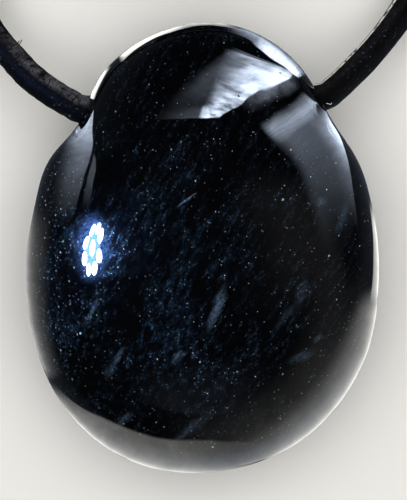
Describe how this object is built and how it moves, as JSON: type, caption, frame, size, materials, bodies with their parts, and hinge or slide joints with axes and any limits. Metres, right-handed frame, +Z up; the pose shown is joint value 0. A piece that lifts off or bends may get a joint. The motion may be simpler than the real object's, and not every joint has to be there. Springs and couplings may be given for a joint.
{
  "type": "tumbled onyx pendant",
  "caption": "Polished egg-shaped tumbled onyx with worn flats, drilled across its narrow end and threaded on a round black leather cord, lying on its back with the cord coiled behind it.",
  "frame": {"origin": "on the surface that the stone rests on, under the middle of the stone's outline", "axes": "+Z up, out of the stone's front; +Y towards the stone's narrow end, where it is drilled; +X to the right seen from above"},
  "size_m": [0.0344, 0.0676, 0.0154],
  "materials": {
    "onyx": "high polish, blue-black with faint grey wisps and pale specks",
    "leather": "round cut black leather lace, waxed, with fine cracks across it",
    "thread": "waxed dark linen thread"
  },
  "bodies": {
    "root": {"stone": "onyx", "cord": "leather", "cord_coil": "leather", "cord_knot": "leather", "coil_tie": "thread"}
  },
  "joints": []
}
